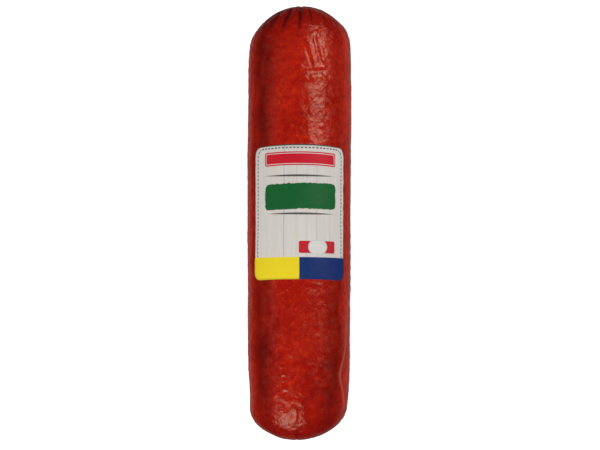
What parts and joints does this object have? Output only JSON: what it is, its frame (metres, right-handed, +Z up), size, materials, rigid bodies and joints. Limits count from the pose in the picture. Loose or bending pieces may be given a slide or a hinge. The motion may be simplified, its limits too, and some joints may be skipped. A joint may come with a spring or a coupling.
{
  "type": "cured sausage",
  "caption": "Large red cured sausage in a smooth casing, lying on its side, gathered to a wire clip at each end, with a paper label wrapped over its upper side.",
  "frame": {"origin": "on the surface that the sausage lies on, under the middle of its length and width", "axes": "+Z up, +Y along the sausage towards its head end, +X to the right seen from above with the head end away"},
  "size_m": [0.0622, 0.259, 0.061],
  "materials": {
    "casing": "smooth glossy red casing film, tight over mottled red meat, creased and darker where it is gathered",
    "label": "satin paper printed with a pale plank pattern, a stitched border and plain red, green, yellow and blue fields",
    "clip": "bare drawn aluminium wire, pressed flat"
  },
  "bodies": {
    "root": {"filled_casing": "casing", "label": "label", "head_clip": "clip", "foot_clip": "clip"}
  },
  "joints": []
}
